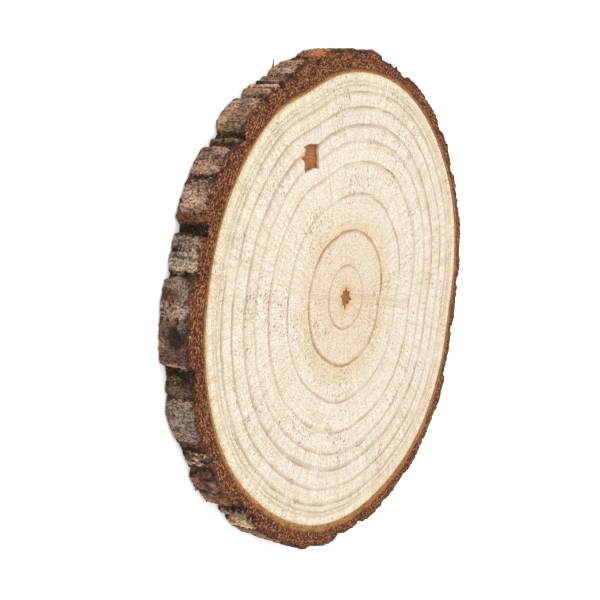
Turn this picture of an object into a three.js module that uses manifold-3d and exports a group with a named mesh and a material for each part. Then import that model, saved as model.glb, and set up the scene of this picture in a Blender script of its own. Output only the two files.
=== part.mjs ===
// A slice sawn across the stem of a young conifer, with its bark left on.
// It lies on its lower saw cut. Units are millimetres, with +Z up, along the stem.
// The origin is on the lower cut, under the middle of the outline's bounding box.
// Angles are in degrees round the pith, from +X towards +Y.

import Module from 'manifold-3d';
import * as THREE from 'three';
import { mergeVertices } from 'three/addons/utils/BufferGeometryUtils.js';

// Driving dimensions
const THICKNESS = 10; // from saw cut to saw cut
const WOOD_RADII = [
  // every 15 degrees
  67.8, 68.2, 68.5, 69.5, 69.9, 68.9, 67.6, 69.3, 70.5, 70, 69.3, 68.1,
  66.4, 64.9, 63.3, 65.1, 65.4, 65.8, 66, 66.9, 67.6, 67.9, 67.2, 67.2,
];
const BARK_WIDTHS = [
  // at the furrow floors, likewise every 15 degrees
  5.2, 4.5, 4.9, 4.8, 4.6, 4.3, 4.1, 3.7, 3.4, 3.8, 4.3, 3.7,
  5.1, 5.4, 5.9, 4.4, 4.7, 4.9, 5.1, 5, 4.9, 4.1, 4.1, 4.8,
];
const BARK_SET_BACK = 0.3; // the bark has dried and shrunk this far below the wood, on both cuts
const WOOD_EDGE_SLOPE = 0.2; // run of the small step from the wood's cut down to the bark's
const WOOD_COLOUR = '#ecd9b8';

// Bark plates: where each starts and ends, and how far it stands out of the furrows beside it
const BARK_PLATES = [
  { from: 1, to: 10, rise: 1.5 },
  { from: 12, to: 19, rise: 1.1 },
  { from: 21, to: 31, rise: 1.6 },
  { from: 32.5, to: 40, rise: 1.2 },
  { from: 42, to: 53, rise: 1.7 },
  { from: 55, to: 61, rise: 1.2 },
  { from: 62.5, to: 73, rise: 2.2 },
  { from: 75, to: 84, rise: 0.6 },
  { from: 86, to: 97, rise: 1.4 },
  { from: 98.5, to: 105, rise: 1.5 },
  { from: 107, to: 118, rise: 1.6 },
  { from: 119.5, to: 128, rise: 1.2 },
  { from: 130, to: 141, rise: 1.5 },
  { from: 143, to: 151, rise: 1.1 },
  { from: 153, to: 163, rise: 1.4 },
  { from: 165, to: 174, rise: 0.4 },
  { from: 176, to: 184, rise: 1.6 },
  { from: 186, to: 193, rise: 1.3 },
  { from: 195, to: 203, rise: 1.8 },
  { from: 205.5, to: 214.5, rise: 2 },
  { from: 216, to: 219, rise: 1.5 },
  { from: 220, to: 225.5, rise: 2 },
  { from: 226.5, to: 237, rise: 2.9 },
  { from: 238.6, to: 239.8, rise: 1.4 },
  { from: 241.2, to: 259, rise: 2.9 },
  { from: 261, to: 269, rise: 1.2 },
  { from: 270, to: 288.6, rise: 2.4 },
  { from: 291.8, to: 294.4, rise: 1.1 },
  { from: 295.2, to: 306, rise: 1.9 },
  { from: 308.5, to: 312, rise: 0.8 },
  { from: 313.5, to: 324.5, rise: 2.6 },
  { from: 328, to: 330.4, rise: 1.6 },
  { from: 332, to: 341, rise: 2 },
  { from: 343, to: 350, rise: 1.5 },
  { from: 352, to: 359, rise: 1.8 },
];
const PLATE_EDGE = 0.8; // degrees over which a plate climbs out of its furrow
const PLATE_STEP = 3; // most degrees between two columns of points on a plate
const PLATE_SIDE = 0.8; // share of the rise that a plate has just inside its edge
const PLATE_LIP = 0.75; // share of the rise that is left at the two cuts
const LIP_HEIGHT = 1.6; // length of wall over which that share comes back to the whole
const WALL_BANDS = 3; // bands of faces between the two lips

// Resin pocket: a brown hollow between two rings, open at the upper cut only
const POCKET_AT = { x: -37.2, y: -27.1 }; // from the pith
const POCKET_DEPTH = 1.2;
const POCKET_OUTLINE = [
  // along +Y and then along -X, round its middle
  [-4.4, 2.1], [-3, 2.9], [-1, 3.6], [2.9, 4.1], // edge towards the bark
  [3.1, 1.8], [3.9, 0.2], [3.6, -0.9], [4.3, -2.3], // side
  [2, -2.6], [-0.8, -3.9], [-2.1, -4.6], // edge towards the pith
  [-2.8, -3.4], [-2.9, -2.3], [-3.6, -1.3], [-5.1, -1], [-3.6, -0.1], [-3.3, 1.9], // side with the long tear
];

// Pith: a small star-shaped hollow that shows on both cuts
const PITH_DEPTH = 0.5;
const PITH_POINTS = 7;
const PITH_TIP_RADIUS = 3;
const PITH_NOTCH_RADIUS = 2;

const CUTTER_CLEARANCE = 1; // how far the cutting shapes stand out of the wood

// A smooth closed curve through values that are given at equal angles.
function valueAt(values, degrees) {
  const count = values.length;
  const place = ((((degrees % 360) + 360) % 360) / 360) * count;
  const i = Math.floor(place);
  const [a, b, c, d] = [-1, 0, 1, 2].map((k) => values[(i + k + count) % count]);
  const t = place - i;
  return b + 0.5 * t * (c - a + t * (2 * a - 5 * b + 4 * c - d + t * (3 * (b - c) + d - a)));
}

// The columns of points round the wall: each has its angle and how far it stands out of the furrows.
function wallColumns() {
  const columns = [];
  for (const { from, to, rise } of BARK_PLATES) {
    const edge = Math.min(PLATE_EDGE, (to - from) / 3);
    const inner = to - from - 2 * edge;
    const steps = Math.max(1, Math.ceil(inner / PLATE_STEP));
    columns.push({ angle: from, rise: 0 });
    for (let i = 0; i <= steps; i++) {
      const crown = Math.sin((Math.PI * i) / steps);
      columns.push({
        angle: from + edge + (inner * i) / steps,
        rise: rise * (PLATE_SIDE + (1 - PLATE_SIDE) * crown),
      });
    }
    columns.push({ angle: to, rise: 0 });
  }
  return columns;
}

// The heights of the rings of points up the wall, with the share of the plates' rise that each one has.
function wallLevels() {
  const low = BARK_SET_BACK;
  const high = THICKNESS - BARK_SET_BACK;
  const levels = [{ z: low, share: PLATE_LIP }];
  for (let i = 0; i <= WALL_BANDS; i++) {
    levels.push({ z: THREE.MathUtils.lerp(low + LIP_HEIGHT, high - LIP_HEIGHT, i / WALL_BANDS), share: 1 });
  }
  levels.push({ z: high, share: PLATE_LIP });
  return levels;
}

// One ring of points: radius(column) gives each point's distance from the pith.
function ring(columns, z, radius) {
  return columns.map((column) => {
    const turn = THREE.MathUtils.degToRad(column.angle);
    return new THREE.Vector3(radius(column) * Math.cos(turn), radius(column) * Math.sin(turn), z);
  });
}

// A closed body from rings that run from the lower cut, up the wall and over the upper cut.
// Its first and last rings are each closed by a fan round the pith.
function bodyFromRings(rings) {
  const count = rings[0].length;
  const points = rings.flat();
  const faces = [];
  for (let r = 0; r + 1 < rings.length; r++) {
    for (let i = 0; i < count; i++) {
      const [a, b] = [r * count + i, r * count + ((i + 1) % count)];
      faces.push(a, b, b + count, a, b + count, a + count);
    }
  }
  const lowPith = points.push(new THREE.Vector3(0, 0, rings[0][0].z)) - 1;
  const highPith = points.push(new THREE.Vector3(0, 0, rings.at(-1)[0].z)) - 1;
  const last = (rings.length - 1) * count;
  for (let i = 0; i < count; i++) {
    const next = (i + 1) % count;
    faces.push(lowPith, next, i);
    faces.push(highPith, last + i, last + next);
  }
  const geometry = new THREE.BufferGeometry().setFromPoints(points);
  geometry.setIndex(faces);
  return geometry;
}

// The disc with its bark, before anything is cut into it.
function disc() {
  const columns = wallColumns();
  const woodEdge = ({ angle }) => valueAt(WOOD_RADII, angle);
  const woodTop = (column) => woodEdge(column) - WOOD_EDGE_SLOPE;
  const furrow = ({ angle }) => valueAt(WOOD_RADII, angle) + valueAt(BARK_WIDTHS, angle);
  const wall = wallLevels().map(({ z, share }) => ring(columns, z, (column) => furrow(column) + share * column.rise));
  return bodyFromRings([
    ring(columns, 0, woodTop),
    ring(columns, BARK_SET_BACK, woodEdge),
    ...wall,
    ring(columns, THICKNESS - BARK_SET_BACK, woodEdge),
    ring(columns, THICKNESS, woodTop),
  ]);
}

// An upright prism on an outline of [x, y] points, from the height low to the height high.
function prism(outline, low, high) {
  const shape = new THREE.Shape(outline.map(([x, y]) => new THREE.Vector2(x, y)));
  const geometry = new THREE.ExtrudeGeometry(shape, { depth: high - low, bevelEnabled: false });
  return geometry.translate(0, 0, low);
}

function pocketCutter() {
  const outline = POCKET_OUTLINE.map(([along, out]) => [POCKET_AT.x - out, POCKET_AT.y + along]);
  return prism(outline, THICKNESS - POCKET_DEPTH, THICKNESS + CUTTER_CLEARANCE);
}

function pithCutter(low, high) {
  const outline = [];
  for (let i = 0; i < 2 * PITH_POINTS; i++) {
    const radius = i % 2 ? PITH_NOTCH_RADIUS : PITH_TIP_RADIUS;
    const turn = (Math.PI * i) / PITH_POINTS;
    outline.push([radius * Math.cos(turn), radius * Math.sin(turn)]);
  }
  return prism(outline, low, high);
}

const wasm = await Module();
wasm.setup();

function toSolid(geometry) {
  const bare = geometry.clone();
  bare.deleteAttribute('normal');
  bare.deleteAttribute('uv');
  const merged = mergeVertices(bare, 1e-4);
  const vertProperties = new Float32Array(merged.attributes.position.array);
  const triVerts = new Uint32Array(merged.index.array);
  return new wasm.Manifold(new wasm.Mesh({ numProp: 3, vertProperties, triVerts }));
}

function toGeometry(solid) {
  const { vertProperties, triVerts } = solid.getMesh();
  const geometry = new THREE.BufferGeometry();
  geometry.setAttribute('position', new THREE.BufferAttribute(new Float32Array(vertProperties), 3));
  geometry.setIndex(new THREE.BufferAttribute(new Uint32Array(triVerts), 1));
  return geometry;
}

function sliceGeometry() {
  const cutters = [
    pocketCutter(),
    pithCutter(THICKNESS - PITH_DEPTH, THICKNESS + CUTTER_CLEARANCE),
    pithCutter(-CUTTER_CLEARANCE, PITH_DEPTH),
  ];
  const solid = cutters.reduce((left, cutter) => left.subtract(toSolid(cutter)), toSolid(disc()));
  const geometry = toGeometry(solid);
  geometry.computeBoundingBox();
  const middle = geometry.boundingBox.getCenter(new THREE.Vector3());
  geometry.translate(-middle.x, -middle.y, 0);
  geometry.computeVertexNormals();
  return geometry;
}

const slice = new THREE.Mesh(
  sliceGeometry(),
  new THREE.MeshStandardMaterial({ color: WOOD_COLOUR, roughness: 0.75, metalness: 0, flatShading: true }),
);
slice.name = 'wood_slice';

const woodSlice = new THREE.Group();
woodSlice.add(slice);

export default woodSlice;
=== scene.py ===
import math

import bpy
import numpy as np
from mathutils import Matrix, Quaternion, Vector, noise


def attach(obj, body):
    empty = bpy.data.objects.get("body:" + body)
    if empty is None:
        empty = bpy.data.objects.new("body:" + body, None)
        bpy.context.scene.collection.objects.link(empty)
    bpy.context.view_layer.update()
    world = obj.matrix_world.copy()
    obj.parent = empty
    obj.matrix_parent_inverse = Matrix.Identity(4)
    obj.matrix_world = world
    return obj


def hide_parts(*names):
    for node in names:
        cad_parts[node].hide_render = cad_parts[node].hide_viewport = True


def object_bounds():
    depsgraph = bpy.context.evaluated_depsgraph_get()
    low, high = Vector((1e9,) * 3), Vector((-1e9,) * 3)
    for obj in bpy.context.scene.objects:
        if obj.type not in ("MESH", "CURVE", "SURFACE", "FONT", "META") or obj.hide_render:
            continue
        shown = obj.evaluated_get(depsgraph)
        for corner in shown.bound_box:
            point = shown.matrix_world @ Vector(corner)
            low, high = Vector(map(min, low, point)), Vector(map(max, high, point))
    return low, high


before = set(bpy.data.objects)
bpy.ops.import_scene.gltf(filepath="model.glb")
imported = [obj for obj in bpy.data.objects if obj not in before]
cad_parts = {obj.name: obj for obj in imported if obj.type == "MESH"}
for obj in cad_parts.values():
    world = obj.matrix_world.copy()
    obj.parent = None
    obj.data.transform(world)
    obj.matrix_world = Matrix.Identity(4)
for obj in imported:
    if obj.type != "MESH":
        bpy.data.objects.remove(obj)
cadLow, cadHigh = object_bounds()

mm = 0.001  # everything below is in metres, and sizes are given in millimetres

# The whole slice. Angles go round the pith in degrees, from +X towards +Y.
slicePiece = {
    "pith": (-0.633, 0.1),  # mm, in the frame
    "wallColumns": 1200,  # points round the bark, one every 0.4 mm
    "wallRows": 34,  # bands of faces up the bark
    "cutRingsTop": 14,  # rings of faces over the bark's cut face
    "cutRingsUnder": 10,
    "woodColumns": 240,  # points round the wood's face
    "woodStepTop": 1.8,  # mm between its rings
    "woodStepUnder": 2.7,
    "pithZone": 4.0,  # mm, inside which the rings come closer
    "pithStepTop": 0.2,
    "pithStepUnder": 0.4,
    "woodRadius": 67.0,  # mm, of the round blank, before it is given its real outline
    "rimRadius": 72.5,
    "stepRun": 0.2,  # mm, run of the small step from the wood's cut down to the bark's
    "outerPart": 55.0,  # mm from the pith; all that lies farther out belongs to the edge or the bark
    "surelyBark": 71.5,  # mm from the pith, past the wood everywhere
    "smoothAngle": 42,  # degrees
}
tiny = 0.01  # mm, closer than this counts as the same place
nowhere = 9.0  # mm, a distance past anything that a finish asks about


def sayStage(text):
    print("[wood slice]", text)


def selectNothing():
    if bpy.context.mode != "OBJECT":
        bpy.ops.object.mode_set(mode="OBJECT")
    bpy.ops.object.select_all(action="DESELECT")


def srgb(code):
    # '#c8a678' to the linear colour that a shader wants
    parts = [int(code[i : i + 2], 16) / 255 for i in (1, 3, 5)]
    linear = [p / 12.92 if p <= 0.04045 else ((p + 0.055) / 1.055) ** 2.4 for p in parts]
    return (*linear, 1.0)


def addNode(tree, kind, inputs=None, out=0, stops=None, **settings):
    # a node with its settings and links; gives back the output that is used
    node = tree.nodes.new("ShaderNode" + kind)
    for name, value in settings.items():
        setattr(node, name, value)
    for socket, value in (inputs or {}).items():
        if isinstance(value, bpy.types.NodeSocket):
            tree.links.new(value, node.inputs[socket])
        else:
            node.inputs[socket].default_value = value
    if stops:
        ramp = node.color_ramp.elements
        while len(ramp) < len(stops):
            ramp.new(1.0)
        for spot, (place, colour) in zip(ramp, stops):
            spot.position = place
            spot.color = colour if isinstance(colour, tuple) else (colour, colour, colour, 1.0)
    return node.outputs[out]


def newMaterial(name):
    material = bpy.data.materials.new(name)
    material.use_nodes = True
    tree = material.node_tree
    tree.nodes.clear()
    shader = tree.nodes.new("ShaderNodeBsdfPrincipled")
    output = tree.nodes.new("ShaderNodeOutputMaterial")
    tree.links.new(shader.outputs["BSDF"], output.inputs["Surface"])
    return material, tree, shader


# The frame's own shape, read off the CAD node

def readOutline(node, pith):
    # how far the wood's edge and the bark's wall are from the pith, at the CAD's own angles
    points = np.array([v.co for v in node.data.vertices]) / mm
    across = points[:, :2] - pith
    radius = np.hypot(across[:, 0], across[:, 1])
    angle = np.degrees(np.arctan2(across[:, 1], across[:, 0])) % 360
    height = points[:, 2]
    top = height.max()
    outer = radius > slicePiece["outerPart"]
    onWood = outer & (height > top - tiny)
    onWall = outer & (height > 0.3 * top) & (height < 0.7 * top)
    outlines = []
    for chosen in (onWood, onWall):
        order = np.argsort(angle[chosen])
        outlines.append((angle[chosen][order], radius[chosen][order]))
    return outlines


def outlineAt(outline, degrees):
    return np.interp(degrees, *outline, period=360)


pith = np.array(slicePiece["pith"])
thickness = (cadHigh.z - cadLow.z) / mm
woodOutline, wallOutline = readOutline(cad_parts["wood_slice"], pith)

# The furrow floors: the lowest that the wall goes nearby, smoothed. The crests: the wall with its narrow
# furrows filled up. All in degrees
wallReading = {"step": 0.25, "floorReach": 9, "floorSmooth": 7, "crestReach": 2.25}


def shiftedRound(values, reach):
    # the values moved round the stem, by every step up to that many degrees either way
    steps = round(reach / wallReading["step"])
    return [np.roll(values, k) for k in range(-steps, steps + 1)]


roundDegrees = np.arange(0, 360, wallReading["step"])
wallRound = outlineAt(wallOutline, roundDegrees)
floorRound = np.min(shiftedRound(wallRound, wallReading["floorReach"]), axis=0)
floorRound = np.mean(shiftedRound(floorRound, wallReading["floorSmooth"]), axis=0)
floorOutline = (roundDegrees, floorRound)
crestRound = np.max(shiftedRound(wallRound, wallReading["crestReach"]), axis=0)
crestRound = np.min(shiftedRound(crestRound, wallReading["crestReach"]), axis=0)
crestOutline = (roundDegrees, crestRound)
meanWood = outlineAt(woodOutline, roundDegrees).mean()  # mm, the wood's radius on average

sayStage(f"frame read: {thickness:.1f} mm thick, pith at {pith[0]:.2f}, {pith[1]:.2f} mm")


# The blank: a round disc made of rings and columns of faces, ready to be given its relief

def setBackOf(node, pith):
    # the bark's cut stands this far below the wood's
    points = np.array([v.co for v in node.data.vertices]) / mm
    far = np.hypot(points[:, 0] - pith[0], points[:, 1] - pith[1]) > slicePiece["surelyBark"]
    return points[:, 2].max() - points[far, 2].max()


setBack = setBackOf(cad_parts["wood_slice"], pith)


def selectParts(mesh, parts, test):
    # picks the faces or edges that pass the test, and goes back into edit mode
    bpy.ops.object.mode_set(mode="OBJECT")
    for kind in (mesh.vertices, mesh.edges, mesh.polygons):
        kind.foreach_set("select", [False] * len(kind))
    for part in parts:
        part.select = bool(test(part))
    bpy.ops.object.mode_set(mode="EDIT")


def selectFaces(obj, test):
    selectParts(obj.data, obj.data.polygons, test)


def selectEdges(obj, test):
    # the test is given both ends of an edge
    points = obj.data.vertices
    selectParts(obj.data, obj.data.edges, lambda edge: test(*(points[i].co for i in edge.vertices)))


def makeBlank(piece):
    selectNothing()
    low, high = setBack * mm, (thickness - setBack) * mm
    bpy.ops.mesh.primitive_cylinder_add(
        vertices=piece["wallColumns"],
        radius=piece["rimRadius"] * mm,
        depth=high - low,
        end_fill_type="NGON",
        location=(0, 0, (low + high) / 2),
    )
    obj = bpy.context.object
    obj.name = "wood_slice_visual"
    bpy.ops.object.transform_apply(location=True, rotation=False, scale=False)
    bpy.ops.object.mode_set(mode="EDIT")
    bpy.ops.mesh.select_mode(type="EDGE")
    selectEdges(obj, lambda a, b: abs(a.z - b.z) > 0.5 * (high - low))
    bpy.ops.mesh.subdivide(number_cuts=piece["wallRows"] - 1)
    bpy.ops.mesh.select_mode(type="FACE")
    barkWidth = (piece["rimRadius"] - piece["woodRadius"]) * mm
    for side, rings in ((1, piece["cutRingsTop"]), (-1, piece["cutRingsUnder"])):
        selectFaces(obj, lambda face: len(face.vertices) > 4 and face.normal.z * side > 0.5)
        for _ in range(rings):
            bpy.ops.mesh.inset(thickness=barkWidth / rings, use_even_offset=False)
        bpy.ops.mesh.delete(type="FACE")
    addWoodFace(piece, thickness * mm, piece["woodStepTop"], piece["pithStepTop"])
    addWoodFace(piece, 0.0, piece["woodStepUnder"], piece["pithStepUnder"])
    bridgeStep(obj, piece, high, thickness * mm)
    bridgeStep(obj, piece, low, 0.0)
    bpy.ops.mesh.select_all(action="SELECT")
    bpy.ops.mesh.normals_make_consistent(inside=False)
    bpy.ops.object.mode_set(mode="OBJECT")
    return obj


def addWoodFace(piece, height, step, pithStep):
    # rings of faces from the wood's edge in to the pith, closed by a fan
    bpy.ops.mesh.select_all(action="DESELECT")
    edge = piece["woodRadius"] - piece["stepRun"]
    bpy.ops.mesh.primitive_circle_add(
        vertices=piece["woodColumns"], radius=edge * mm, fill_type="NGON", location=(0, 0, height)
    )
    coarse = round((edge - piece["pithZone"]) / step)
    fine = round((piece["pithZone"] - pithStep) / pithStep)
    for count, length in ((coarse, edge - piece["pithZone"]), (fine, piece["pithZone"] - pithStep)):
        for _ in range(count):
            bpy.ops.mesh.inset(thickness=length / count * mm, use_even_offset=False)
    bpy.ops.mesh.poke()


def bridgeStep(obj, piece, barkHeight, woodHeight):
    # joins the bark's inner ring to the wood's edge, a fraction of a millimetre higher
    bpy.ops.mesh.select_mode(type="EDGE")
    inner = (piece["woodRadius"] - 3 * piece["stepRun"]) * mm
    outer = piece["woodRadius"] * mm
    close = tiny * mm * 0.1

    def onRing(a, b):
        # both ends on one of the two levels, near the wood's edge, and as far from the pith as each other
        low, high = sorted(math.hypot(p.x, p.y) for p in (a, b))
        level = all(min(abs(p.z - barkHeight), abs(p.z - woodHeight)) < close for p in (a, b))
        return level and inner < low and high < outer + close and high - low < 0.1 * close

    selectEdges(obj, onRing)
    bpy.ops.mesh.bridge_edge_loops()
    bpy.ops.mesh.select_mode(type="FACE")


# The resin pocket and the pith, both small hollows in the cut

pocketPiece = {
    "at": (-37.2, -27.1),  # mm from the pith
    "depth": 1.2,
    "zone": 6.6,  # mm round its middle, where the faces are made small
    "cuts": 7,  # how many times each face there is cut
    # its outline, as (along +Y, along -X) from its middle
    "outline": (
        (-4.4, 2.1), (-3, 2.9), (-1, 3.6), (2.9, 4.1), (3.1, 1.8), (3.9, 0.2), (3.6, -0.9), (4.3, -2.3),
        (2, -2.6), (-0.8, -3.9), (-2.1, -4.6), (-2.8, -3.4), (-2.9, -2.3), (-3.6, -1.3), (-5.1, -1),
        (-3.6, -0.1), (-3.3, 1.9),
    ),
}
pithPiece = {
    "radius": 2.15,  # mm
    "depth": 0.4,
    # its points: towards which angle, mm from the middle
    "spikes": ((4, 4.0), (48, 2.7), (84, 3.3), (135, 2.7), (187, 3.3), (228, 2.6), (268, 3.0), (332, 3.0)),
    "spikeWidth": 15,  # degrees
    "spikeTaper": 1.3,  # above 1, their sides curve inwards
}
ridgeHeight = 0.12  # mm, how rough the floors of the two hollows are


def toOutline(x, y, outline):
    # signed distance from each point to a closed outline, in mm; below zero inside
    nearest = np.full(len(x), 1e9)
    inside = np.zeros(len(x), bool)
    for (ax, ay), (bx, by) in zip(outline, outline[1:] + outline[:1]):
        ex, ey = bx - ax, by - ay
        share = np.clip(((x - ax) * ex + (y - ay) * ey) / (ex * ex + ey * ey), 0, 1)
        nearest = np.minimum(nearest, np.hypot(x - ax - share * ex, y - ay - share * ey))
        crosses = (ay > y) != (by > y)
        inside ^= crosses & (x < ax + (y - ay) * ex / (ey if ey else 1e-9))
    return np.where(inside, -nearest, nearest)


def toPocket(x, y):
    across, up = pocketPiece["at"]
    outline = [(across - out, up + along) for along, out in pocketPiece["outline"]]
    return toOutline(x, y, outline)


def pithEdge(degrees):
    edge = np.full(len(degrees), pithPiece["radius"])
    for towards, reach in pithPiece["spikes"]:
        apart = np.abs((degrees - towards + 180) % 360 - 180) / pithPiece["spikeWidth"]
        edge += (reach - pithPiece["radius"]) * np.clip(1 - apart, 0, 1) ** pithPiece["spikeTaper"]
    return edge


def refinePocket(obj):
    # small faces where the pocket goes
    middle = Vector(pocketPiece["at"]) * mm
    degrees = math.degrees(math.atan2(middle.y, middle.x))
    middle *= slicePiece["woodRadius"] / outlineAt(woodOutline, degrees)
    top = (thickness - tiny) * mm
    zone = pocketPiece["zone"] * mm
    selectFaces(obj, lambda face: face.center.z > top and (face.center.to_2d() - middle).length < zone)
    bpy.ops.mesh.subdivide(number_cuts=pocketPiece["cuts"])
    bpy.ops.object.mode_set(mode="OBJECT")


# The bark: plates with weathered skin, parted by furrows, and rough red-brown bark between them

barkPiece = {
    "ragged": 0.5,  # degrees that a furrow wanders as it runs up the wall
    "raggedSize": 2.2,  # mm
    "raggedFine": 0.2,
    "raggedFineSize": 0.9,
    "broad": 0.3,  # mm, the slow swelling of a plate
    "broadSize": 6.0,
    "stretch": 3.0,  # the swellings and furrows are that many times longer up the wall than round it
    "furrow": 0.8,  # mm, depth of a plain furrow
    # the deep ones: at which angle, half width in degrees, depth in mm
    "deepFurrows": (
        (238.0, 0.7, 1.2), (260.1, 1.3, 2.2), (290.2, 2.0, 1.6), (307.3, 1.3, 1.2),
        (326.2, 1.8, 2.0), (331.2, 0.8, 1.2), (204.5, 0.8, 1.3), (42, 0.8, 1.2), (85, 0.9, 1.4),
        (129, 0.8, 1.3), (164, 0.8, 1.2),
    ),
    "skin": 0.32,  # mm, thickness of the weathered skin
    "skinWander": 0.95,  # mm that its edge wanders
    "skinWanderSize": 1.4,
    "skinCorner": 2.2,  # mm, radius of its corners
    "lumps": 0.16,  # mm, how rough the skin is
    "broken": 0.6,  # mm, how much rougher the bark is where the skin is gone
    "lumpSize": 1.3,
    "grit": 0.2,  # mm, height of the finest roughness
    "gritSize": 0.6,
    "teeth": 0.45,  # mm, how ragged the rim of the sawn face is
    "teethSize": 1.2,
    "teethReach": 1.3,  # mm down from the rim
    "bevel": 0.35,  # mm that the rim is worn back
    "bevelReach": 0.6,
    "rimDrop": 0.3,  # mm that the sawn face falls off at the rim
    "cutRough": 0.16,  # mm, roughness of the sawn face
    "fibreSize": 1.1,
    "pitSize": 0.8,
    "pitDepth": 0.3,
    "seamAt": 0.35,  # mm from the wood, a narrow groove
    "seamDepth": 0.2,
    # mm of tan bast next to the wood, every 30 degrees
    "bastWidths": (1.9, 2.3, 2.3, 2.0, 1.9, 1.2, 0.9, 0.7, 0.7, 0.7, 0.8, 1.3),
    # splinters: towards which angle, how high, how far they stick out and how far they lean, in mm
    "splinters": (
        (213.2, 1.4, 3.3, -2.3), (168.2, 9.2, 1.1, 0.5), (169.4, 9.3, 0.9, -0.3),
        (143.0, 9.2, 0.7, 0.4), (132.4, 9.2, 0.6, -0.4), (107.5, 9.2, 0.7, 0.3),
        (88.5, 9.2, 0.8, -0.4), (318.3, 0.9, 0.8, 0.4),
    ),
    "splinterTone": "#291a12",
    # the skins: from and to which angle, from and to which height in mm, colour
    "skins": (
        (1, 10, 0.1, 9.8, "#7e5e49"), (12, 19, 0.2, 9.2, "#877362"),
        (21, 31, 0, 9.8, "#765744"), (32.5, 40, 0.3, 9.0, "#8c6d57"),
        (43, 53, 0, 9.4, "#7e6355"), (55, 61, 0.8, 9.8, "#827669"),
        (62.5, 73, 0, 9.3, "#846550"), (75, 84, 0.4, 9.8, "#8b7968"),
        (86, 97, 0.2, 9.1, "#775947"), (98.5, 105, 0, 9.7, "#837364"),
        (107, 118, 0.3, 9.2, "#7c5f4d"), (119.5, 128, 0.2, 9.6, "#97795e"),
        (130, 141, 0, 9.0, "#795a47"), (143, 151, 0.3, 9.8, "#87796b"),
        (153, 163, 0, 9.3, "#7e604a"), (165, 174, 0.2, 9.2, "#74503d"),
        (176, 184, 0, 9.6, "#826652"), (186, 193, 0.3, 8.6, "#865e3c"),
        (195, 203, 0, 9.2, "#825e42"), (207.2, 215, 0, 8.6, "#95745b"),
        (212, 214.6, 2.0, 7.6, "#a0836b"), (216.0, 219, 0, 8.9, "#7f604a"),
        (219.7, 222.3, 0, 9.9, "#a98d71"), (222.7, 225.8, 0, 9.6, "#876955"),
        (226.6, 237.2, 0, 9.2, "#7b5f4c"), (228.5, 235.5, 0.3, 4.6, "#8d705b"),
        (238.4, 239.6, 0, 9.8, "#6b5744"), (241.3, 249.4, 0, 9.3, "#8b6e5c"),
        (250.0, 257.2, 1.0, 8.9, "#84695a"), (257.3, 259.2, 0.4, 9.0, "#674534"),
        (261.6, 264.4, 0, 9.7, "#7f6c5b"), (264.6, 269.1, 0, 9.8, "#8e7b68"),
        (270.2, 275.5, 0.4, 8.7, "#705e4f"), (275.2, 278.4, 0.4, 8.8, "#866d5b"),
        (278.6, 288.9, 0, 9.0, "#574036"), (292.2, 294.5, 0.2, 9.6, "#524033"),
        (295.1, 304.6, 0, 9.3, "#786557"), (308.8, 311.8, 0.4, 9.4, "#644b3c"),
        (314, 318.6, 0, 9.0, "#765645"), (318.8, 324.2, 1.0, 8.6, "#7f5a45"),
        (328.3, 330.3, 0, 9.4, "#866b55"), (332, 335.4, 0, 9.4, "#b79579"),
        (336, 341, 0, 9.2, "#785744"), (343.5, 349.5, 0, 9.4, "#7e604a"),
        (352.5, 358.5, 0.3, 9.0, "#6d4b38"),
    ),
    # patches on or beside the skins: angle, half width in degrees, height, half height in mm, colour
    "patches": (
        (281.8, 3.0, 6.4, 3.2, "#2e1c15"), (284.5, 3.0, 1.2, 1.6, "#7b5a45"),
        (279.6, 1.2, 8.2, 2.0, "#64574d"), (288.0, 1.2, 5.0, 4.0, "#91715a"),
        (273.8, 1.5, 3.6, 3.4, "#5f4133"), (276.6, 1.4, 7.6, 2.6, "#917b69"),
        (258.2, 0.9, 4.0, 5.0, "#674030"), (256.2, 1.0, 8.2, 2.0, "#7b5c49"),
        (249.4, 0.6, 4.6, 3.0, "#332017"), (248.0, 1.6, 1.0, 1.6, "#92745d"),
        (245.2, 1.3, 7.6, 2.2, "#765744"), (242.6, 1.2, 2.4, 2.0, "#694a39"),
        (254.0, 1.9, 4.0, 2.6, "#9a8068"), (252.0, 1.2, 8.6, 1.4, "#846752"),
        (266.0, 0.5, 5.0, 4.0, "#59483b"), (305.8, 1.3, 6.4, 3.4, "#5c3a28"),
        (311.2, 0.6, 4.6, 3.6, "#9c7c62"), (302.6, 1.3, 2.0, 2.0, "#836953"),
        (222.5, 0.3, 6.5, 2.8, "#732f1e"), (206.0, 1.4, 6.4, 4.0, "#9f623b"),
        (201.0, 3.0, 7.6, 2.6, "#a06339"), (233.0, 1.6, 8.0, 2.0, "#6e4f3b"),
        (229.0, 1.4, 8.0, 1.8, "#91735e"), (321.5, 2.6, 8.0, 2.0, "#845536"),
        (316.5, 1.2, 5.6, 2.4, "#452d21"), (326.0, 1.2, 7.6, 2.6, "#643b27"),
        (300.0, 1.8, 6.4, 2.0, "#745f53"), (307.4, 0.7, 4.0, 4.6, "#2b1a12"),
        (308.4, 0.3, 5.4, 3.8, "#b39880"), (310.3, 0.9, 7.6, 1.5, "#24160f"),
        (309.8, 1.3, 4.6, 0.5, "#a98c74"), (312.6, 0.5, 5.0, 4.6, "#2f1c13"),
        (314.6, 0.6, 6.2, 3.2, "#412a1f"), (318.3, 0.5, 5.0, 4.0, "#3a241a"),
        (290.2, 1.3, 6.6, 2.8, "#2a1b14"), (291.0, 0.5, 3.0, 2.4, "#8a6d58"),
    ),
    "between": "#4c3325",  # the bark where there is no skin
}


def noiseOf(points, size, octaves=1, seed=0.0):
    # smooth noise, -1 to 1, with bumps about size mm across; points are rows of mm
    scaled = np.asarray(points) / size + seed
    if octaves == 1:
        return np.array([noise.noise(p) for p in scaled.tolist()])
    return np.array([noise.fractal(p, 0.9, 2.0, octaves) for p in scaled.tolist()])


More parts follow.
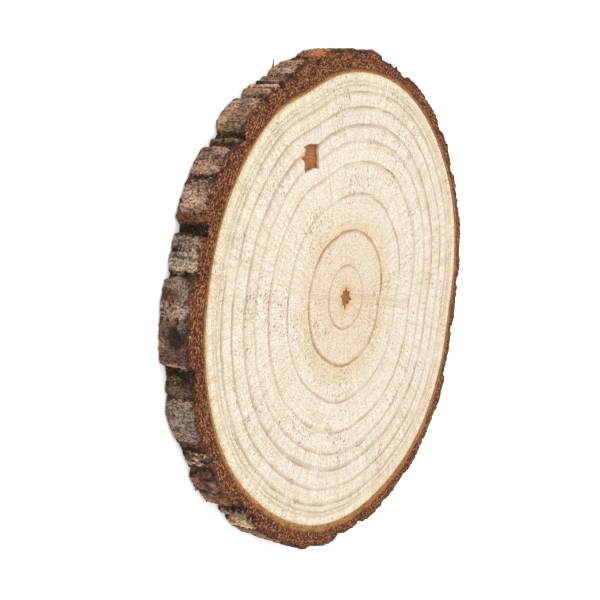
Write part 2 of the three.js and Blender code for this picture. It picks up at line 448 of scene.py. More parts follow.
def step01(low, high, value):
    share = np.clip((value - low) / (high - low), 0, 1)
    return share * share * (3 - 2 * share)


def unwrapped(degrees, height, stretch=1.0):
    # places on a cylinder: mm round the bark and mm up it, with the height squeezed by stretch
    turn = np.radians(degrees)
    radius = slicePiece["rimRadius"]
    return np.column_stack((radius * np.cos(turn), radius * np.sin(turn), height / stretch))


def furrowAt(degrees):
    # how deep a furrow may be at each angle
    depth = np.full(len(degrees), barkPiece["furrow"])
    for middle, halfWidth, deep in barkPiece["deepFurrows"]:
        apart = np.abs((degrees - middle + 180) % 360 - 180)
        depth = np.maximum(depth, deep * (1 - step01(halfWidth, 1.6 * halfWidth, apart)))
    return depth


def skinAt(degrees, height):
    # how far past the edge of the weathered skin a place is, in mm, below zero on it, and the bark's colour
    spot = unwrapped(degrees, height)
    mmPerDegree = math.radians(slicePiece["rimRadius"])
    wander = barkPiece["skinWander"] * noiseOf(spot, barkPiece["skinWanderSize"], 4, seed=12.1)
    wanderUp = barkPiece["skinWander"] * noiseOf(spot, barkPiece["skinWanderSize"], 4, seed=27.4)
    past = np.full(len(degrees), nowhere)
    tone = np.tile(srgb(barkPiece["between"]), (len(degrees), 1))
    for start, end, low, high, colour in barkPiece["skins"]:
        halfRound, halfUp = (end - start) / 2 * mmPerDegree, (high - low) / 2
        corner = min(barkPiece["skinCorner"], halfRound, halfUp)
        across = np.abs((degrees - (start + end) / 2 + 180) % 360 - 180) * mmPerDegree - halfRound + corner
        up = np.abs(height - (low + high) / 2) - halfUp + corner
        across, up = across + wander, up + wanderUp
        beyond = np.hypot(np.maximum(across, 0), np.maximum(up, 0)) - corner
        beyond += np.minimum(np.maximum(across, up), 0)
        here = 1 - step01(-0.2, 0.2, beyond)
        past = np.minimum(past, beyond)
        tone += (np.array(srgb(colour)) - tone) * here[:, None]
    for angle, halfWidth, level, halfHeight, colour in barkPiece["patches"]:
        across = (degrees - angle + 0.5 * wander) / halfWidth
        up = (height - level + wanderUp) / halfHeight
        here = 1 - step01(0.6, 1.1, np.hypot(across, up))
        tone += (np.array(srgb(colour)) - tone) * here[:, None]
    return past, tone


def sculptWall(degrees, height):
    # the wall's distance from the pith, its depth in furrows and pits for the painted shade there, its skin
    # and its colour
    spot = unwrapped(degrees, height)
    along = unwrapped(degrees, height, barkPiece["stretch"])
    wanted = degrees + barkPiece["ragged"] * noiseOf(along, barkPiece["raggedSize"], 3, seed=3.1)
    wanted += barkPiece["raggedFine"] * noiseOf(spot, barkPiece["raggedFineSize"], 2, seed=8.4)
    crest = outlineAt(crestOutline, wanted)
    gap = crest - outlineAt(wallOutline, wanted)
    trench = step01(0.68, 0.95, gap / np.maximum(crest - outlineAt(floorOutline, wanted), 0.5))
    furrow = trench * np.minimum(gap, furrowAt(wanted))
    pastSkin, tone = skinAt(degrees, height)
    skin = 1 - step01(-0.15, 0.15, pastSkin)
    lumps = noiseOf(unwrapped(degrees, height, 1.6), barkPiece["lumpSize"], 3, seed=6.1)
    grit = noiseOf(spot, barkPiece["gritSize"], 2, seed=2.2)
    broad = noiseOf(along, barkPiece["broadSize"], 2, seed=1.7)
    shape = barkPiece["broad"] * broad + barkPiece["skin"] * (skin - 1) - furrow
    shape += lumps * (barkPiece["lumps"] + barkPiece["broken"] * (1 - skin)) + barkPiece["grit"] * grit
    toLip = np.minimum(height - setBack, thickness - setBack - height)
    nearLip = 1 - step01(0.0, barkPiece["teethReach"], toLip)
    worn = 1 - step01(0.0, barkPiece["bevelReach"], toLip)
    shape -= barkPiece["bevel"] * worn * (1 + 0.8 * lumps)
    shape += barkPiece["teeth"] * noiseOf(spot, barkPiece["teethSize"], 2, seed=15.0) * nearLip
    inPits = 0.5 * np.clip(-lumps, 0, 1) * (1 - skin)  # painted shade: the pits of broken bark are darkened by their depth too
    return crest + shape, furrow + inPits, pastSkin, tone


def sculptCut(degrees, share, depth):
    # roughness of the bark's sawn face, in mm: torn fibres that run round the stem, and pits
    turn = np.radians(degrees)
    radius = slicePiece["woodRadius"]
    spot = np.column_stack((radius * np.cos(turn), radius * np.sin(turn), depth * 2.2))
    fibres = noiseOf(spot, barkPiece["fibreSize"], 3, seed=4.4)
    pits = step01(0.35, 0.7, noiseOf(spot, barkPiece["pitSize"], 2, seed=7.7))
    seam = 1 - step01(0.0, 0.5, np.abs(depth - barkPiece["seamAt"]))
    outer = step01(0.35, 0.6, share)
    rough = barkPiece["cutRough"] * fibres * (0.5 + 0.8 * outer)
    return rough - barkPiece["pitDepth"] * pits * (0.3 + outer) - barkPiece["seamDepth"] * seam


def giveShape(obj):
    # moves every point of the blank to its place, and returns what the finishes need to know of it
    mesh = obj.data
    count = len(mesh.vertices)
    flat = np.empty(count * 3, np.float32)
    mesh.vertices.foreach_get("co", flat)
    blank = flat.reshape(-1, 3).astype(float) / mm
    radius = np.hypot(blank[:, 0], blank[:, 1])
    degrees = np.degrees(np.arctan2(blank[:, 1], blank[:, 0])) % 360
    height = blank[:, 2].copy()
    woodRadius, rimRadius = slicePiece["woodRadius"], slicePiece["rimRadius"]
    onWall = radius > rimRadius - tiny
    onWood = (height > thickness - tiny) | (height < tiny)
    onCut = ~onWall & ~onWood
    edge = outlineAt(woodOutline, degrees)
    newRadius = radius * edge / woodRadius

    # the wall, then the sawn bark that reaches from the wood to it
    furrow, pastSkin = np.zeros(count), np.full(count, nowhere)
    tone = np.tile(srgb(barkPiece["between"]), (count, 1))
    sculpted = sculptWall(degrees[onWall], height[onWall])
    newRadius[onWall], furrow[onWall], pastSkin[onWall], tone[onWall] = sculpted
    for angle, level, reach, lean in barkPiece["splinters"]:
        away = np.hypot((degrees - angle) * math.radians(rimRadius), height - level)
        tip = np.argmin(np.where(onWall, away, nowhere))
        newRadius[tip] += reach
        degrees[tip] += math.degrees(lean / rimRadius)
        tone[tip] = srgb(barkPiece["splinterTone"])
        # the splinter's tip also gets the furrows' full painted shade
        furrow[tip] = 1.0
    for top in (True, False):
        lip = onWall & (height > thickness - setBack - tiny if top else height < setBack + tiny)
        order = np.argsort(degrees[lip])
        rim = (degrees[lip][order], newRadius[lip][order])
        side = onCut & ((height > 0.5 * thickness) == top)
        share = (radius[side] - woodRadius) / (rimRadius - woodRadius)
        width = outlineAt(rim, degrees[side]) - edge[side]
        newRadius[side] = edge[side] + share * width
        rough = sculptCut(degrees[side], share, share * width)
        rough -= barkPiece["rimDrop"] * step01(0.8, 1.0, share)
        # never up to the wood's level, and even with it at the wood's edge
        height[side] += np.minimum(rough, 0.2) * np.clip(share / 0.15, 0, 1) * (1 if top else -1)

    # the hollows in the cuts
    turn = np.radians(degrees)
    x, y = newRadius * np.cos(turn), newRadius * np.sin(turn)
    toEdge = toPocket(x, y)
    toEdge[blank[:, 2] < 0.5 * thickness] = nowhere
    toPith = newRadius - pithEdge(degrees)
    ridges = ridgeHeight * noiseOf(np.column_stack((x, y, height)), 0.7, 2, seed=3.0)
    sunk = (1 - step01(-0.12, 0.12, toEdge)) * (pocketPiece["depth"] + ridges)
    sunk += (1 - step01(-0.25, 0.05, toPith)) * (pithPiece["depth"] + ridges)
    height[onWood] -= (np.where(height > 0.5 * thickness, 1, -1) * sunk)[onWood]

    # back to metres, round the pith of the frame
    final = np.column_stack((x + pith[0], y + pith[1], height)) * mm
    mesh.vertices.foreach_set("co", final.astype(np.float32).ravel())
    mesh.update()
    return {
        "blank": blank,
        "degrees": degrees,
        "radius": newRadius,
        "edge": edge,
        "onWall": onWall,
        "onWood": onWood,
        "furrow": furrow,
        "pastSkin": pastSkin,
        "tone": tone,
        "toPocket": toEdge,
        "toPith": toPith,
    }


# Growth: how old the wood is at a place, from 0 at the pith to 1 at the bark

growthPiece = {
    "roundTo": 0.12,  # the first years grew round, and later ones follow the stem's outline
    "followsFrom": 0.32,
    # where the years were wider or narrower: angle, half width in degrees, share, at which age
    "swells": ((150, 30, 0.05, 0.66), (91, 17, -0.04, 0.45), (60, 25, -0.02, 0.4)),
    "swellReach": 0.25,  # in age
    "wobble": 0.0035,  # in age
    "wobbleSize": 7.0,  # mm
}


def ageAt(shape):
    share = shape["radius"] / shape["edge"]
    even = shape["radius"] / meanWood
    follow = step01(growthPiece["roundTo"], growthPiece["followsFrom"], share)
    age = even + (share - even) * follow
    for towards, halfWidth, amount, most in growthPiece["swells"]:
        apart = (shape["degrees"] - towards + 180) % 360 - 180
        early = (age - most) / growthPiece["swellReach"]
        near = np.exp(-((apart / halfWidth) ** 2)) * np.exp(-(early**2))
        age = age / (1 + amount * near)
    turn = np.radians(shape["degrees"])
    place = np.column_stack((shape["radius"] * np.cos(turn), shape["radius"] * np.sin(turn), 0 * turn))
    return age + growthPiece["wobble"] * noiseOf(place, growthPiece["wobbleSize"], 2, seed=1.3)


def storeGrowth(obj, shape):
    # what the finishes read at each point of the mesh
    bast = np.interp(shape["degrees"], np.arange(0, 360, 30), barkPiece["bastWidths"], period=360)
    depth = np.where(shape["onWall"], nowhere, shape["radius"] - shape["edge"])
    values = {"age": ageAt(shape), "barkDepth": depth, "pastBast": depth - bast}
    for name in ("onWall", "furrow", "pastSkin", "toPocket", "toPith"):
        values[name] = shape[name]
    for name, numbers in values.items():
        layer = obj.data.attributes.new(name, "FLOAT", "POINT")
        layer.data.foreach_set("value", np.asarray(numbers, np.float32))
    layer = obj.data.attributes.new("barkTone", "FLOAT_COLOR", "POINT")
    layer.data.foreach_set("color", np.asarray(shape["tone"], np.float32).ravel())


def unrollForBake(obj, shape):
    # a UV map with no overlaps: the upper cut, the underside beside it, and the wall in four strips below
    # them. Places and sizes are shares of the map
    mesh = obj.data
    corner = np.empty(len(mesh.loops), np.int32)
    mesh.loops.foreach_get("vertex_index", corner)
    total = np.empty(len(mesh.polygons), np.int32)
    mesh.polygons.foreach_get("loop_total", total)
    face = np.repeat(np.arange(len(total)), total)

    def faceMean(values):
        return (np.bincount(face, values) / total)[face]

    blank = shape["blank"][corner]
    degrees = shape["degrees"][corner]
    first = np.concatenate(([0], np.cumsum(total)[:-1]))
    start = degrees[first][face]
    degrees = start + (degrees - start + 180) % 360 - 180
    wall = faceMean(shape["onWall"][corner].astype(float)) > 0.99
    top = faceMean(blank[:, 2]) > 0.5 * thickness
    rim = slicePiece["rimRadius"]
    u = np.where(top, 0.332 + 0.326 * blank[:, 0] / rim, 0.832 + 0.163 * blank[:, 0] / rim)
    v = np.where(top, 0.668 + 0.326 * blank[:, 1] / rim, 0.832 + 0.163 * blank[:, 1] / rim)
    middle = faceMean(degrees)
    strip = np.floor(middle % 360 / 90)
    turned = degrees - middle + middle % 360 - 90 * strip
    up = (blank[:, 2] - setBack) / (thickness - 2 * setBack)
    u = np.where(wall, 0.004 + 0.992 * turned / 90, u)
    v = np.where(wall, 0.004 + 0.084 * strip + 0.076 * up, v)
    layer = mesh.uv_layers.new(name="OFBake")
    layer.data.foreach_set("uv", np.column_stack((u, v)).astype(np.float32).ravel())


# Finishes

def perMm(size):
    # the scale of a pattern whose grains are that many millimetres across
    return 1000 / size


def fromPith(tree):
    # a point seen from the pith: its place, the same without its height, and the direction it lies in
    coords = addNode(tree, "TexCoord", out=3)
    place = addNode(tree, "Mapping", {0: coords, 1: (-pith[0] * mm, -pith[1] * mm, 0)})
    flat = addNode(tree, "VectorMath", {0: place, 1: (1, 1, 0)}, operation="MULTIPLY")
    towards = addNode(tree, "VectorMath", {0: flat}, operation="NORMALIZE")
    return place, flat, towards


def drawnOut(tree, towards, turns, outward, steps, noise):
    # a pattern that changes at one pace on the way round and at another on the way out from the pith
    around = addNode(tree, "VectorMath", {0: towards, 3: turns}, operation="SCALE")
    outward = addNode(tree, "Math", {0: outward, 1: steps}, operation="MULTIPLY")
    outward = addNode(tree, "CombineXYZ", {2: outward})
    at = addNode(tree, "VectorMath", {0: around, 1: outward}, operation="ADD")
    return addNode(tree, "TexNoise", {0: at, **noise})


def apart(tree, value, middle):
    value = addNode(tree, "Math", {0: value, 1: middle}, operation="SUBTRACT")
    return addNode(tree, "Math", {0: value}, operation="ABSOLUTE")


def layOn(tree, colour, layers):
    # lays tints over a colour, each where its pattern is past a value. A layer is its pattern, where the
    # tint starts, where it is full, how strong it is, and the tint, as a code or another colour
    for pattern, start, full, strength, tint in layers:
        share = addNode(tree, "MapRange", {0: pattern, 1: start, 2: full, 4: strength})
        tint = srgb(tint) if isinstance(tint, str) else tint
        colour = addNode(tree, "Mix", {0: share, 6: colour, 7: tint}, 2, data_type="RGBA")
    return colour


def finishShader(tree, shader, finish, colour, height):
    bump = addNode(tree, "Bump", {0: finish["bump"], 1: finish["bumpHeight"] * mm, "Height": height})
    tree.links.new(colour, shader.inputs["Base Color"])
    tree.links.new(bump, shader.inputs["Normal"])
    shader.inputs["Roughness"].default_value = finish["roughness"]
    shader.inputs["IOR"].default_value = finish["ior"]
    shader.inputs["Specular IOR Level"].default_value = finish["shine"]


woodFinish = {
    # the wood's colour by age
    "tones": (
        (0.0, "#bc9f79"), (0.045, "#bfa581"), (0.065, "#c5b08e"), (0.1, "#c9b8a0"), (0.28, "#cabaa3"),
        (0.31, "#c8b497"), (0.36, "#cabaa0"), (0.4, "#cec4b4"), (0.55, "#d1c7b8"), (0.66, "#d2c8b9"),
        (0.75, "#cfc4b6"), (0.88, "#d0c5b5"), (0.93, "#cdc1ad"), (0.985, "#d1c3ac"), (1.0, "#c6af88"),
    ),
    "line": "#937146",
    # the end of each year's growth: age, mm over which it darkens, how dark
    "rings": (
        (0.1415, 0.8, 0.85), (0.303, 1.2, 1.0), (0.461, 0.9, 0.62), (0.598, 1.3, 0.57), (0.692, 1.2, 0.5),
        (0.765, 1.7, 0.68), (0.8455, 1.0, 0.75), (0.914, 1.3, 0.62), (0.942, 0.7, 0.52), (0.96, 0.6, 0.4),
    ),
    "afterLine": 0.3,  # mm in which the next spring's wood is pale again
    "rayWidth": 0.8,  # mm, at half the radius
    "grain": 0.42,  # mm, drawn somewhat coarser than real fibres so that it shows
    "tear": 0.8,  # mm, the small torn places
    "tearPatch": 13,  # mm, and the patches that they come in
    "ringWave": 3.0,  # mm, the small waves of a ring
    "ringWaveDepth": 0.011,  # in age
    "ringPatch": 10,  # mm, stretches over which a ring is fainter or stronger
    "bandsAround": 2.2,  # the faint bands: how often they change on the way round, and from pith to bark
    "bandsOutward": 62.0,
    "rayLength": 7,  # mm
    # dark specks: towards which angle, mm from the pith, radius in mm
    "specks": (
        (87, 42.8, 0.42), (71, 28.6, 0.3), (11, 22.7, 0.36), (291, 27.7, 0.3), (115, 54.6, 0.3),
        (163, 58.4, 0.25), (238, 30.5, 0.24), (330, 40.6, 0.24), (36, 33.4, 0.22),
        (197, 47.2, 0.22),
    ),
    # rays that stand out: towards which angle, from and to mm, half width in mm, how dark
    "rays": (
        (90.5, 4.0, 38.5, 1.6, 0.3), (91, 37.4, 39.0, 1.4, 0.55), (66, 3.0, 19.0, 0.25, 0.5),
        (60, 7.0, 24.0, 0.25, 0.3), (270.5, 4.0, 19.0, 1.5, 0.2), (207, 30.0, 43.0, 0.35, 0.22),
        (20, 9.0, 30.0, 0.25, 0.2),
    ),
    "stripe": 0.7,  # mm, the stripes in these rays
    # cracks along a year's end: towards which angle, half width in degrees, age
    "checks": ((310, 8, 0.922), (301, 5, 0.853), (157, 9, 0.6), (24, 6, 0.702)),
    "roughness": 0.7,
    "ior": 1.5,
    "shine": 0.3,  # the open fibres hold back part of the shine
    "bump": 0.4,
    "bumpHeight": 0.12,  # mm
    # resin stain in the pocket and the pith
    "stain": "#915e32",
    "stainPale": "#a67045",
    "stainDark": "#643b20",
    "streak": 1.3,  # mm, the streaks in the stain
    "streakTurn": 36,  # degrees
    "streakScale": (1.9, 0.45, 1),  # finer across and longer along
}


def ringStops(finish):
    # pale wood that darkens up to the end of each year and then is pale again
    stops = [(0.0, 0.0)]
    for age, darkens, dark in finish["rings"]:
        start = max(age - darkens / meanWood, stops[-1][0] + 0.0005)
        stops += [(start, 0.0), (age, dark), (age + finish["afterLine"] / meanWood, 0.0)]
    return stops


def drawRays(tree, colour, finish, flat):
    # the rays that stand out, each of fine stripes between two distances from the pith
    for angle, start, end, halfWidth, dark in finish["rays"]:
        turned = addNode(tree, "Mapping", {0: flat, 2: (0, 0, math.radians(angle))}, vector_type="TEXTURE")
        along = addNode(tree, "SeparateXYZ", {0: turned}, 0)
        across = addNode(tree, "SeparateXYZ", {0: turned}, 1)
        off = addNode(tree, "Math", {0: across}, operation="ABSOLUTE")
        inside = addNode(tree, "MapRange", {0: off, 1: halfWidth * mm, 2: (halfWidth - 0.15) * mm})
        begun = addNode(tree, "MapRange", {0: along, 1: start * mm, 2: (start + 1) * mm})
        ended = addNode(tree, "MapRange", {0: along, 1: end * mm, 2: (end - 0.4) * mm})
        stripes = {1: across, 2: perMm(finish["stripe"]), 3: 1.0}
        stripes = addNode(tree, "TexNoise", stripes, noise_dimensions="1D")
        least = 0.2 if halfWidth > 1 else 0.8
        stripes = addNode(tree, "MapRange", {0: stripes, 1: 0.35, 2: 0.65, 3: least})
        for part in (begun, ended, stripes):
            inside = addNode(tree, "Math", {0: inside, 1: part}, operation="MULTIPLY")
        colour = layOn(tree, colour, ((inside, 0.0, 1.0, dark, "#b18b5a"),))
    return colour


def drawSpecks(tree, colour, finish, flat):
    for angle, away, radius in finish["specks"]:
        turn = math.radians(angle)
        spot = (away * mm * math.cos(turn), away * mm * math.sin(turn), 0)
        gone = addNode(tree, "VectorMath", {0: flat, 1: spot}, 1, operation="DISTANCE")
        colour = layOn(tree, colour, ((gone, radius * mm, 0.6 * radius * mm, 0.85, "#503c29"),))
    return colour


def drawChecks(tree, colour, finish, towards, age, tears):
    # cracks that follow the end of a year for a few degrees, broken up by the tears
    broken = addNode(tree, "MapRange", {0: tears, 1: 0.36, 2: 0.46})
    for angle, halfWidth, level in finish["checks"]:
        turn = math.radians(angle)
        middle = (math.cos(turn), math.sin(turn), 0)
        facing = addNode(tree, "VectorMath", {0: towards, 1: middle}, 1, operation="DOT_PRODUCT")
        ends = math.cos(math.radians(halfWidth))
        nearby = addNode(tree, "MapRange", {0: facing, 1: ends, 2: 1.0, 4: 0.006})
        crack = addNode(tree, "Math", {0: nearby, 1: apart(tree, age, level)}, operation="SUBTRACT")
        crack = addNode(tree, "Math", {0: crack, 1: broken}, operation="MULTIPLY")
        colour = layOn(tree, colour, ((crack, 0.001, 0.003, 0.7, "#674e34"),))
    return colour


def makeWood(finish):
    # Fir, bandsawn across the grain and left raw: pale and matt, with a tan line at the end of each
    # year, fine rays, and warmer wood round the pith and next to the bark. Resin has stained the two hollows
    material, tree, shader = newMaterial("Fir, sawn across the grain and raw")
    place, flat, towards = fromPith(tree)
    far = addNode(tree, "VectorMath", {0: flat}, 1, operation="LENGTH")
    age, toPocket, toPith = [
        addNode(tree, "Attribute", out=2, attribute_name=name) for name in ("age", "toPocket", "toPith")
    ]

    # the years, with the small waves that real rings have
    depth = finish["ringWaveDepth"]
    waves = addNode(tree, "TexNoise", {0: place, 2: perMm(finish["ringWave"]), 3: 3.0})
    age = addNode(tree, "Math", {0: waves, 1: depth, 2: age}, operation="MULTIPLY_ADD")
    age = addNode(tree, "Math", {0: age, 1: 0.5 * depth}, operation="SUBTRACT")
    colour = addNode(tree, "ValToRGB", {0: age}, stops=[(at, srgb(tone)) for at, tone in finish["tones"]])
    lines = addNode(tree, "ValToRGB", {0: age}, stops=ringStops(finish))
    patchy = addNode(tree, "TexNoise", {0: place, 2: perMm(finish["ringPatch"]), 3: 3.0})
    patchy = addNode(tree, "MapRange", {0: patchy, 1: 0.35, 2: 0.6, 3: 0.45, 4: 1.15})
    lines = addNode(tree, "Math", {0: lines, 1: patchy}, operation="MULTIPLY")

    # faint bands inside a year, where growth slowed for a while
    around, steps = finish["bandsAround"], finish["bandsOutward"]
    bands = drawnOut(tree, towards, around, age, steps, {2: 1.0, 3: 3.0, 4: 0.6})

    # fine rays: thin streaks from the pith outwards
    rayTurn = 0.5 * slicePiece["woodRadius"] / finish["rayWidth"]
    rays = drawnOut(tree, towards, rayTurn, far, perMm(finish["rayLength"]), {2: 1.0, 3: 2.0, 4: 0.6})

    # the cut ends of the fibres, and small torn places that come in patches
    grain = addNode(tree, "TexNoise", {0: place, 2: perMm(finish["grain"]), 3: 2.0, 4: 0.7})
    tears = addNode(tree, "TexNoise", {0: place, 2: perMm(finish["tear"]), 3: 2.0, 4: 0.6})
    clusters = addNode(tree, "TexNoise", {0: place, 2: perMm(finish["tearPatch"]), 3: 2.0})
    clusters = addNode(tree, "MapRange", {0: clusters, 1: 0.45, 2: 0.62, 3: -0.12, 4: 0.0})
    tears = addNode(tree, "Math", {0: tears, 1: clusters}, operation="ADD")
    colour = layOn(tree, colour, (
        (rays, 0.5, 0.3, 0.35, "#a98b62"),
        (rays, 0.53, 0.72, 0.5, "#e2dacc"),
        (grain, 0.48, 0.34, 0.6, "#a08054"),
        (grain, 0.53, 0.66, 0.75, "#e8e2d7"),
        (bands, 0.47, 0.7, 0.34, "#b5976c"),
        (lines, 0.0, 1.0, 1.0, finish["line"]),
        (tears, 0.58, 0.65, 0.75, "#7f5f39"),
    ))
    colour = drawRays(tree, colour, finish, flat)
    colour = drawSpecks(tree, colour, finish, flat)
    colour = drawChecks(tree, colour, finish, towards, age, tears)

    # stains: orange round the pith, and brown resin in the hollows
    turn = (0, 0, math.radians(finish["streakTurn"]))
    streaks = addNode(tree, "Mapping", {0: flat, 2: turn, 3: finish["streakScale"]})
    streaks = addNode(tree, "TexNoise", {0: streaks, 2: perMm(finish["streak"]), 3: 2.0})
    stained = layOn(tree, srgb(finish["stain"]), (
        (streaks, 0.5, 0.68, 0.8, finish["stainPale"]),
        (streaks, 0.42, 0.34, 0.6, finish["stainDark"]),
        # the same dark brown, stronger towards the pocket's rim
        (toPocket, -0.5, 0.0, 0.2, finish["stainDark"]),
    ))
    halo = addNode(tree, "Math", {0: rays, 1: -2.4, 2: toPith}, operation="MULTIPLY_ADD")
    colour = layOn(tree, colour, (
        (halo, 0.9, -1.6, 0.75, "#c29159"),
        (toPocket, 0.35, 0.0, 0.5, "#ae8b64"),
    ))
    hollow = addNode(tree, "Math", {0: toPocket, 1: toPith}, operation="MINIMUM")
    inHollow = addNode(tree, "MapRange", {0: hollow, 1: 0.04, 2: -0.06})
    colour = addNode(tree, "Mix", {0: inHollow, 6: colour, 7: stained}, 2, data_type="RGBA")
    height = addNode(tree, "Math", {0: lines, 1: 0.8, 2: grain}, operation="MULTIPLY_ADD")
    finishShader(tree, shader, finish, colour, height)
    return material


barkFinish = {
    "bast": "#9a7346",  # the inner bark, next to the wood
    "innermost": "#af8a5c",
    "orange": "#894d29",
    "seam": "#3d180b",
    "cork": "#5a2a18",  # the outer bark's sawn face
    "speckle": 0.6,  # mm, drawn coarser than real grains so that it shows; on the plates partly their own flecks and partly painted light and shade of their grain
    "threads": 0.5,  # mm across, on the weathered plates
    "bastGrain": 1.1,  # coarseness of the fibres
    "bastAround": 60.0,  # how often the fibres change on the way round, and across the ring
    "bastLayers": 3.2,
    "blots": 1.2,  # mm, and the patterns below likewise
    "clouds": 4.0,
    "waves": 9.0,
    "creases": 1.8,
    # grains of the cork: where their pattern starts and is full, how strong, colour
    "corkGrains": ((0.48, 0.37, 0.85, "#260f08"), (0.55, 0.66, 0.55, "#b98567")),
    "roughness": 0.9,
    "ior": 1.45,
    "shine": 0.2,  # dusty and porous
    "bump": 0.9,
    "bumpHeight": 0.3,  # mm
}


def makeBark(finish):
    # Bark of a young fir: tan bast against the wood and red-brown cork with pale flecks where it is
    # sawn, and outside weathered plates speckled partly with painted light and shade, rough red-brown bark,
    # and furrows painted nearly black as shade
    material, tree, shader = newMaterial("Fir bark")
    place, _, towards = fromPith(tree)
    depth, pastBast, onWall, furrow, pastSkin = [
        addNode(tree, "Attribute", out=2, attribute_name=name)
        for name in ("barkDepth", "pastBast", "onWall", "furrow", "pastSkin")
    ]
    tone = addNode(tree, "Attribute", out=0, attribute_name="barkTone")

    # grains of several sizes, and fibres that follow the ring
    upright = addNode(tree, "Mapping", {0: place, 3: (1, 1, 0.5)})
    speckle = addNode(tree, "TexNoise", {0: place, 2: perMm(finish["speckle"]), 3: 2.0, 4: 0.6})
    blots = addNode(tree, "TexNoise", {0: upright, 2: perMm(finish["blots"]), 3: 3.0, 4: 0.65})
    clouds = addNode(tree, "TexNoise", {0: upright, 2: perMm(finish["clouds"]), 3: 3.0})
    waves = addNode(tree, "TexNoise", {0: place, 2: perMm(finish["waves"]), 3: 3.0})
    fibre = {2: 1 / finish["bastGrain"], 3: 3.0, 4: 0.65}
    around, steps = finish["bastAround"], finish["bastLayers"]
    fibres = drawnOut(tree, towards, around, depth, steps, fibre)

    # the sawn face: tan bast, an orange band with a dark line, then red-brown cork
    past = addNode(tree, "Math", {0: fibres, 1: 1.8, 2: pastBast}, operation="MULTIPLY_ADD")
    past = addNode(tree, "Math", {0: waves, 1: 1.6, 2: past}, operation="MULTIPLY_ADD")
    inCork = addNode(tree, "MapRange", {0: past, 1: 1.9, 2: 2.6})
    cut = layOn(tree, srgb(finish["bast"]), (
        (depth, 0.6, 0.3, 0.8, finish["innermost"]),
        (past, 1.2, 1.6, 0.9, finish["orange"]),
        (past, 1.7, 1.9, 0.85, finish["seam"]),
        (past, 2.2, 2.6, 1.0, finish["cork"]),
        (clouds, 0.5, 0.66, 0.3, "#935529"),
        (clouds, 0.5, 0.34, 0.4, "#452314"),
        (fibres, 0.53, 0.65, 0.6, "#b68755"),
        (fibres, 0.48, 0.37, 0.8, "#502913"),
        (depth, 0.16, 0.0, 0.6, "#68502d"),
    ))
    shades = []
    flecks = addNode(tree, "Math", {0: fibres, 1: 0.5, 2: -0.25}, operation="MULTIPLY_ADD")
    flecks = addNode(tree, "Math", {0: speckle, 1: flecks}, operation="ADD")
    for low, high, strength, tint in finish["corkGrains"]:
        share = addNode(tree, "MapRange", {0: flecks, 1: low, 2: high})
        inside = addNode(tree, "Math", {0: share, 1: inCork}, operation="MULTIPLY")
        shades.append((inside, 0.0, 1.0, strength, tint))
    cut = layOn(tree, cut, (
        (speckle, 0.56, 0.68, 0.3, "#be9360"),
        (speckle, 0.46, 0.36, 0.4, "#4d2913"),
        *shades,
    ))

    # the weathered outside: painted shade in a thin dark line just past the edge of the raised skin, fine
    # creases, and flecks in the plate's own colour, drawn out along the stem, partly their own and partly
    # painted light and shade
    # how far a place is from the line of painted shade 0.2 mm past the skin's edge
    toEdge = apart(tree, pastSkin, 0.2)
    creases = addNode(tree, "Mapping", {0: place, 3: (1, 1, 0.3)})
    creases = addNode(tree, "TexNoise", {0: creases, 2: perMm(finish["creases"]), 3: 3.0, 4: 0.6})
    creases = apart(tree, creases, 0.5)
    grains = addNode(tree, "MapRange", {0: clouds, 1: 0.4, 2: 0.6, 3: -0.05, 4: 0.05})
    threads = addNode(tree, "Mapping", {0: place, 3: (1, 1, 0.33)})
    threads = addNode(tree, "TexNoise", {0: threads, 2: perMm(finish["threads"]), 3: 3.0, 4: 0.7})
    grains = addNode(tree, "Math", {0: grains, 1: threads}, operation="ADD")
    # paler and palest copies of the plate's colour, for its pale flecks and for painted light on the rises
    # of its grain
    paler = addNode(tree, "VectorMath", {0: tone, 3: 1.5}, operation="SCALE")
    palest = addNode(tree, "VectorMath", {0: tone, 3: 2.3}, operation="SCALE")
    outside = layOn(tree, tone, (
        (clouds, 0.52, 0.66, 0.4, paler),
        (clouds, 0.48, 0.34, 0.5, "#362016"),
        # the blots also shape the bump: pale on its rises and dark in its hollows, partly the plates' own
        # blotches and partly painted light and shade
        (blots, 0.53, 0.66, 0.5, paler),
        # painted shade: a thin dark line just past the edge of the raised skin, where its step would cast it
        (toEdge, 0.35, 0.1, 0.45, "#28170f"),
        # painted shade in furrows and pits, darker with their depth, nearly black in the deepest
        (furrow, 0.2, 1.1, 0.9, "#1a0f0a"),
        (blots, 0.47, 0.35, 0.8, "#23130c"),
        (creases, 0.022, 0.004, 0.75, "#1f110b"),
        # the grains hold the bump's threads: palest on their rises and dark between them, partly the plates'
        # own flecks and partly painted light and shade
        (grains, 0.55, 0.66, 0.6, palest),
        (grains, 0.47, 0.35, 0.75, "#27160d"),
        # speckle: partly the plates' own flecks, partly painted light and shade of their fine grain
        (speckle, 0.55, 0.64, 0.45, palest),
        (speckle, 0.46, 0.37, 0.65, "#1e100a"),
    ))
    colour = addNode(tree, "Mix", {0: onWall, 6: cut, 7: outside}, 2, data_type="RGBA")
    height = addNode(tree, "Math", {0: blots, 1: 0.8, 2: threads}, operation="MULTIPLY_ADD")
    finishShader(tree, shader, finish, colour, height)
    return material


def dress(obj, shape):
    # wood on the cuts and bark round them, smooth but for the sharp edges
    mesh = obj.data
    mesh.materials.append(makeWood(woodFinish))
    mesh.materials.append(makeBark(barkFinish))
    wood = shape["onWood"]
    slots = [0 if wood[list(face.vertices)].any() else 1 for face in mesh.polygons]
    mesh.polygons.foreach_set("material_index", slots)
    selectNothing()
    obj.select_set(True)
    bpy.context.view_layer.objects.active = obj
    bpy.ops.object.shade_smooth_by_angle(angle=math.radians(slicePiece["smoothAngle"]))


# The camera looks down on the upper cut, rolled so that the stem's axis runs across the picture

viewSetup = {
    "aim": (2.25, -24.3),  # mm from the pith, on the upper cut
    "distance": 361.9,
    "azimuth": 0.43,  # degrees, to the right of straight along +Y
    "elevation": 33.19,
    "roll": 97.23,
    "lens": 78,
    "sensor": 36,
}


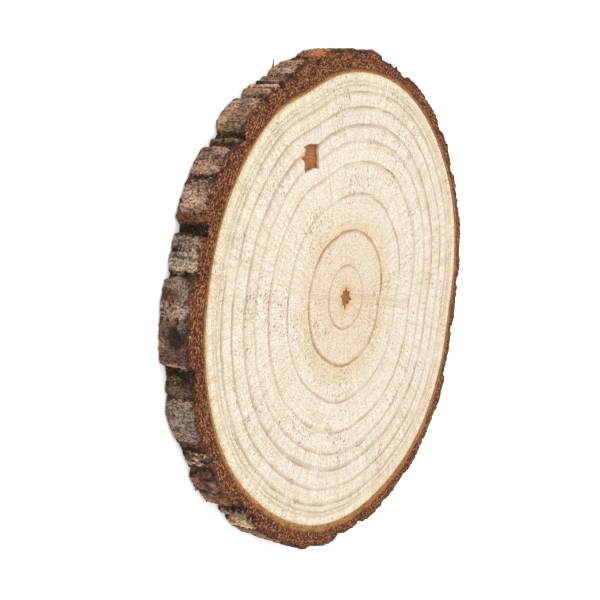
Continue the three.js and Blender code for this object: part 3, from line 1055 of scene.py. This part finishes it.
def placeCamera(setup):
    data = bpy.data.cameras.new("studio_camera")
    camera = bpy.data.objects.new("studio_camera", data)
    bpy.context.scene.collection.objects.link(camera)
    data.lens = setup["lens"]
    data.sensor_width = setup["sensor"]
    data.clip_start, data.clip_end = 0.01, 20
    azimuth, elevation = math.radians(setup["azimuth"]), math.radians(setup["elevation"])
    back = Vector((
        -math.sin(azimuth) * math.cos(elevation),
        -math.cos(azimuth) * math.cos(elevation),
        math.sin(elevation),
    ))
    aim = Vector((pith[0] + setup["aim"][0], pith[1] + setup["aim"][1], thickness)) * mm
    camera.location = aim + back * setup["distance"] * mm
    camera.rotation_mode = "QUATERNION"
    level = (-back).to_track_quat("-Z", "Y")
    camera.rotation_quaternion = level @ Quaternion((0, 0, 1), math.radians(setup["roll"]))
    bpy.context.scene.camera = camera


studioSetup = {
    "floorSize": 3.0,  # metres
    "floorGap": 0.02,  # mm under the slice
    "floor": "#fcfcfc",
    "floorGlow": 0.2,  # lit from below as well, so that the shadow stays faint
    "world": 1.2,
    # area lights: name, place in metres, size in metres, watts
    "lights": (
        ("key", (-0.75, -0.65, 1.1), 0.9, 6.8),
        ("fill", (0.8, -0.9, 0.7), 1.2, 2.3),
    ),
}


def lightStudio(setup):
    below = cadLow.z - setup["floorGap"] * mm
    bpy.ops.mesh.primitive_plane_add(size=setup["floorSize"], location=(0, 0, below))
    floor = bpy.context.object
    floor.name = "floor"
    material, _, shader = newMaterial("White backdrop paper")
    shader.inputs["Base Color"].default_value = srgb(setup["floor"])
    shader.inputs["Roughness"].default_value = 0.95
    shader.inputs["Emission Color"].default_value = srgb(setup["floor"])
    shader.inputs["Emission Strength"].default_value = setup["floorGlow"]
    floor.data.materials.append(material)
    for name, place, size, watts in setup["lights"]:
        data = bpy.data.lights.new(name, "AREA")
        data.shape = "DISK"
        data.size = size
        data.energy = watts
        light = bpy.data.objects.new(name, data)
        light.location = place
        light.rotation_mode = "QUATERNION"
        light.rotation_quaternion = (-Vector(place)).to_track_quat("-Z", "Y")
        bpy.context.scene.collection.objects.link(light)
    world = bpy.data.worlds.new("studio")
    world.use_nodes = True
    sky = world.node_tree.nodes["Background"]
    sky.inputs["Color"].default_value = (1, 1, 1, 1)
    sky.inputs["Strength"].default_value = setup["world"]
    bpy.context.scene.world = world
    bpy.context.scene.view_settings.view_transform = "Standard"


blank = makeBlank(slicePiece)
sayStage(f"blank: {len(blank.data.vertices)} points, {len(blank.data.polygons)} faces")
refinePocket(blank)
sliceShape = giveShape(blank)
storeGrowth(blank, sliceShape)
unrollForBake(blank, sliceShape)
sayStage(f"shaped: {len(blank.data.vertices)} points")
dress(blank, sliceShape)
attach(blank, "root")
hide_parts("wood_slice")
placeCamera(viewSetup)
lightStudio(studioSetup)

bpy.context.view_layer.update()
sayStage("finished")
